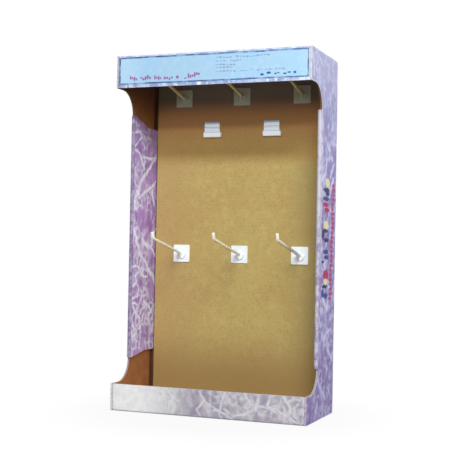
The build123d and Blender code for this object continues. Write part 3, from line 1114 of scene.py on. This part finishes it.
def shaft_shell():
    """The shaft, from its flared root along the rise and round the bend to the rounded end."""
    start, corner, end = [Vector(point) * mm for point in shaft_corners]
    rise = (corner - start).normalized()
    turned = (end - corner).normalized()
    angle = rise.angle(turned)
    trim = shaft_bend * math.tan(angle / 2)
    stations = [(start + rise * far * mm, rise, radius * mm) for far, radius in root_flare]
    bend_start = corner - rise * trim
    reach = (bend_start - stations[-1][0]).length
    for share in rise_shares:
        stations.append((stations[len(root_flare) - 1][0] + rise * reach * share, rise, shaft_radius))
    centre = bend_start + Vector((-rise.y, rise.x)) * -shaft_bend
    for i in range(1, shaft_bend_steps + 1):
        swing = Matrix.Rotation(-angle * i / shaft_bend_steps, 2)
        stations.append((centre + swing @ (bend_start - centre), swing @ rise, shaft_radius))
    stations.append((end, turned, shaft_radius))
    for i in range(1, shaft_end_steps + 1):
        cap = math.pi / 2 * i / (shaft_end_steps + 0.3)
        stations.append((end + turned * shaft_radius * math.sin(cap), turned, shaft_radius * math.cos(cap)))
    rings = []
    for place, onward, radius in stations:
        across = Vector((-onward.y, onward.x))
        ring = []
        for i in range(shaft_sides):
            swing = 2 * math.pi * i / shaft_sides
            off = across * radius * math.sin(swing)
            ring.append((radius * math.cos(swing), place.x + off.x, place.y + off.y))
        rings.append(ring)
    return skin(rings)


def united(name, shells):
    """Joins closed shells into the mesh of one moulded body."""
    bodies = []
    for shell in shells:
        mesh = bpy.data.meshes.new(name)
        shell.to_mesh(mesh)
        shell.free()
        bodies.append(bpy.data.objects.new(name, mesh))
        bpy.context.scene.collection.objects.link(bodies[-1])
    for body in bodies[1:]:
        joint = bodies[0].modifiers.new(body.name, "BOOLEAN")
        joint.operation = "UNION"
        joint.solver = "EXACT"
        joint.object = body
    bpy.context.view_layer.update()
    joined = bpy.data.meshes.new_from_object(bodies[0].evaluated_get(bpy.context.evaluated_depsgraph_get()))
    for body in bodies:
        bpy.data.objects.remove(body)
    joined.name = name
    joined.shade_smooth()
    joined.set_sharp_from_angle(angle=math.radians(35))
    return joined


hook_white = paint(246, 252, 254)
hook_shade_grey = paint(214, 218, 190)
hook_shade_amber = paint(250, 228, 166)
hook_ivory = paint(238, 232, 204)
hook_cream = paint(234, 230, 212)
hook_dust = paint(190, 200, 200)


def hook_plastic():
    """White plastic, yellowed along the shaft; the three hooks up under the header are painted grey-green and
    amber as shade.
    """
    material, tree, shader = new_finish("hook_plastic", 0.3)
    whole = own_place(tree)
    colour = over(tree, along(tree, whole, 1, -16 * mm, -60 * mm), hook_white, hook_ivory)
    colour = over(tree, along(tree, whole, 1, -121 * mm, -130 * mm), colour, hook_cream)
    colour = over(tree, ramp(tree, cast(tree, whole, 14 * mm, 3.0), 0.4, 0.7, 0.0, 0.12), colour, hook_dust)
    # Painted shade for the three hooks up under the header: grey-green plates, amber shafts
    painted_shade = over(tree, along(tree, whole, 1, -6 * mm, -20 * mm), hook_shade_grey, hook_shade_amber)
    hung_at = step(tree, "ObjectInfo", {})
    colour = over(tree, along(tree, hung_at, 2, 0.36, 0.44), colour, painted_shade)
    tree.links.new(colour, shader.inputs["Base Color"])
    tree.links.new(along(tree, whole, 1, -3 * mm, -9 * mm), shader.inputs["Subsurface Weight"])
    shader.inputs["Subsurface Radius"].default_value = (1.0, 1.0, 0.9)
    shader.inputs["Subsurface Scale"].default_value = 6 * mm
    return material


hook_mesh = united(
    "hook",
    [
        moulded(plate_side, plate_side, plate_corner, 0, -plate_thickness, back_rounding, plate_rounding),
        boss_shell(),
        web_shell(),
        shaft_shell(),
        moulded(
            2 * neck_radius, 2 * neck_radius, neck_radius,
            panel_thickness + key_thickness / 2, -plate_thickness / 2, back_rounding, back_rounding
        ),
        moulded(
            *key_bar, key_bar[0] / 2,
            panel_thickness + key_thickness, panel_thickness, plate_rounding, back_rounding
        ),
    ],
)
hook_mesh.materials.clear()
hook_mesh.materials.append(hook_plastic())
for row in ("upper", "lower"):
    for column in ("left", "middle", "right"):
        node = f"hook_{row}_{column}"
        low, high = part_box(node)
        hook = bpy.data.objects.new(f"moulded_{node}", hook_mesh)
        hook.location = (
            (low.x + high.x) / 2, high.y - panel_thickness - key_thickness, low.z + plate_side / 2
        )
        bpy.context.scene.collection.objects.link(hook)
        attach(hook, "root")
        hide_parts(node)

# Clips
# Two grip clips cut from an extruded strip of milky plastic and stuck to the panel: a flat back with a rib,
# and a lip curled up in front that holds a card against it. The lip overhangs the back at both ends.
clip_wide = 30.0 * mm
clip_lip_wide = 34.0 * mm
clip_half_wall = 0.8 * mm
clip_waves = 0.25 * mm
clip_end_round = 0.25 * mm
clip_inset = 0.05 * mm
clip_lip_shift = 2.0 * mm
clip_stations = 13
curl_radius = 2.5
curl_steps = 10
curl_middle = (-3.3, -11.7)
curl_top = (-7.0, -6.0)
end_steps = 6


def thick_profile(points, half):
    """The outline of a bent sheet seen from its end: both sides of a centre line and two rounded ends."""
    points = [Vector(point) * mm for point in points]
    left = []
    right = []
    for i, here in enumerate(points):
        ahead = points[min(i + 1, len(points) - 1)] - points[max(i - 1, 0)]
        across = Vector((-ahead.y, ahead.x)).normalized() * half
        left.append(here + across)
        right.append(here - across)
    outline = list(left)
    for end, side in ((points[-1], left[-1] - points[-1]), (points[0], right[0] - points[0])):
        for i in range(1, end_steps):
            outline.append(end + Matrix.Rotation(-math.pi * i / end_steps, 2) @ side)
        if end == points[-1]:
            outline += right[::-1]
    return outline


def extruded(points, half, wide, wavy, shift=0.0):
    """A length of bent strip, cut square, with its edges just broken and its free edge a little wavy."""
    rings = []
    stations = [(-wide / 2, clip_end_round), (-wide / 2 + clip_end_round, 0.0)]
    stations += [(-wide / 2 + wide * i / clip_stations, 0.0) for i in range(1, clip_stations)]
    stations += [(wide / 2 - clip_end_round, 0.0), (wide / 2, clip_end_round)]
    for x, inset in stations:
        ring = []
        for point in thick_profile(points, half - inset):
            free = (point.y - curl_middle[1] * mm) / (6 * mm)
            wave = wavy * noise.noise(Vector((x * 90, wide * 400, 0))) * free
            ring.append((x + shift, point.x + min(wave, 0.0), point.y))
        rings.append(ring)
    return skin(rings)


lip_line = [(-0.8, -6.0), (-0.8, -9.0)]
for i in range(curl_steps + 1):
    angle = -math.pi * i / curl_steps
    y, z = curl_middle
    lip_line.append((y + curl_radius * math.cos(angle), z + curl_radius * math.sin(angle)))
lip_line += [(-6.3, -8.9), curl_top]
back_line = [(-0.8, -7.4), (-0.8, 0.0), (-0.8, 14.3)]
rib_line = [(-1.6, 2.2), (-1.6, 3.8)]


def clip_plastic():
    """Milky bluish plastic with a hard glossy skin; the lip is painted whiter as a painted highlight."""
    material, tree, shader = new_finish("clip_plastic", 0.25, 1.0)
    whole = own_place(tree)
    colour = over(tree, along(tree, whole, 2, 8 * mm, -8 * mm), paint(202, 226, 246), paint(196, 224, 252))
    # Painted highlight: the curled lip is painted near white
    colour = over(tree, along(tree, whole, 1, -3.6 * mm, -5.6 * mm), colour, paint(244, 252, 255))
    tree.links.new(colour, shader.inputs["Base Color"])
    shader.inputs["IOR"].default_value = 1.7
    shader.inputs["Coat Weight"].default_value = 1.0
    shader.inputs["Coat Roughness"].default_value = 0.12
    shader.inputs["Coat IOR"].default_value = 3.4
    return material


clip_mesh = united(
    "clip",
    [
        extruded(lip_line, clip_half_wall, clip_lip_wide, clip_waves, clip_lip_shift),
        extruded(back_line, clip_half_wall - clip_inset, clip_wide, 0.0),
        extruded(rib_line, clip_half_wall, clip_wide - 2 * clip_inset, 0.0),
    ],
)
clip_mesh.materials.clear()
clip_mesh.materials.append(clip_plastic())
for node in ("clip_left", "clip_right"):
    low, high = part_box(node)
    clip = bpy.data.objects.new(f"cut_{node}", clip_mesh)
    clip.location = ((low.x + high.x) / 2, high.y, (low.z + high.z) / 2)
    bpy.context.scene.collection.objects.link(clip)
    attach(clip, "root")
    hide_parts(node)

# Floor and light
# A pale floor that stays white away from the stand and keeps its soft shadow near it. Soft boxes in front at
# three levels shade the space under the header in steps, and others light the two sides and the back.
floor_half = 6.0
floor_corners = [(-1, -1), (1, -1), (1, 1), (-1, 1)]
floor_mesh = bpy.data.meshes.new("floor")
floor_mesh.from_pydata([(x * floor_half, y * floor_half, 0) for x, y in floor_corners], [], [(0, 1, 2, 3)])
floor = bpy.data.objects.new("floor", floor_mesh)
bpy.context.scene.collection.objects.link(floor)


def seen_plainly(tree):
    """1 where the room is seen, mirrored or seen through something clear, and 0 where it only gives light."""
    rays = tree.nodes.new("ShaderNodeLightPath").outputs
    seen = maths(tree, "MAXIMUM", rays["Is Camera Ray"], rays["Is Glossy Ray"])
    return maths(tree, "MAXIMUM", seen, rays["Is Transmission Ray"])


def floor_paint():
    """Matt grey that takes the stand's shadow, and white wherever it is seen away from the stand."""
    material, tree, shader = new_finish("floor", 0.9, 0.1)
    shader.inputs["Base Color"].default_value = paint(124, 124, 124)
    glow = step(tree, "Emission", {"Color": paint(255, 255, 255), "Strength": 1.0})
    away = step(tree, "VectorMath", {0: own_place(tree)}, output=1, operation="LENGTH")
    white = times(tree, seen_plainly(tree), ramp(tree, away, 0.16, 0.34, 0.94, 1.0))
    mixed = step(tree, "MixShader", {0: white, 1: shader.outputs[0], 2: glow})
    tree.links.new(mixed, tree.nodes["Material Output"].inputs["Surface"])
    return material


floor_mesh.materials.append(floor_paint())

ambient = 0.06
room = bpy.data.worlds.new("room")
bpy.context.scene.world = room
room.use_nodes = True
sky = room.node_tree
background = sky.nodes["Background"]
background.inputs["Color"].default_value = paint(255, 255, 255)
sky.links.new(ramp(sky, seen_plainly(sky), 0.0, 1.0, ambient, 1.0), background.inputs["Strength"])


def soft_lamp(name, place, aim, wide, high, power):
    """A soft box that points at a place."""
    data = bpy.data.lights.new(name, "AREA")
    data.shape = "RECTANGLE"
    data.size = wide
    data.size_y = high
    data.energy = power
    lamp = bpy.data.objects.new(name, data)
    lamp.location = place
    lamp.rotation_euler = (Vector(aim) - Vector(place)).to_track_quat("-Z", "Y").to_euler()
    bpy.context.scene.collection.objects.link(lamp)


soft_lamp("high_light", (0.92, -1.95, 1.944), (0.92, 0, 0.35), 1.25, 0.246, 42)
soft_lamp("middle_light", (0.85, -2.26, 1.34), (0.85, 0, 0.35), 1.15, 0.15, 18)
soft_lamp("low_light", (0.5, -2.47, 0.93), (0.5, 0, 0.35), 1.4, 0.5, 14.5)
soft_lamp("right_light", (2.4, -0.5, 1.25), (0, 0, 0.3), 1.2, 0.9, 34)
soft_lamp("left_light", (-2.3, 0.5, 1.2), (0, 0, 0.3), 1.2, 1.0, 38)
soft_lamp("back_light", (0.4, 2.4, 1.4), (0, 0, 0.3), 1.4, 1.0, 40)

# Camera
# It stands where the photograph was taken from: to the right of the stand and nearly level with its middle,
# with a long lens and a slight tilt.
camera_place = (0.6674, -1.7031, 0.2833)
azimuth = math.radians(21.395)
elevation = math.radians(1.238)
tilt = math.radians(1.077)
camera_data = bpy.data.cameras.new("camera")
camera_data.sensor_fit = "HORIZONTAL"
camera_data.sensor_width = 36.0
camera_data.lens = 82.95
camera = bpy.data.objects.new("camera", camera_data)
turn = Matrix.Rotation(azimuth, 4, "Z") @ Matrix.Rotation(math.pi / 2 + elevation, 4, "X")
camera.matrix_world = Matrix.Translation(camera_place) @ turn @ Matrix.Rotation(tilt, 4, "Z")
bpy.context.scene.collection.objects.link(camera)
bpy.context.scene.camera = camera
bpy.context.scene.view_settings.view_transform = "Standard"
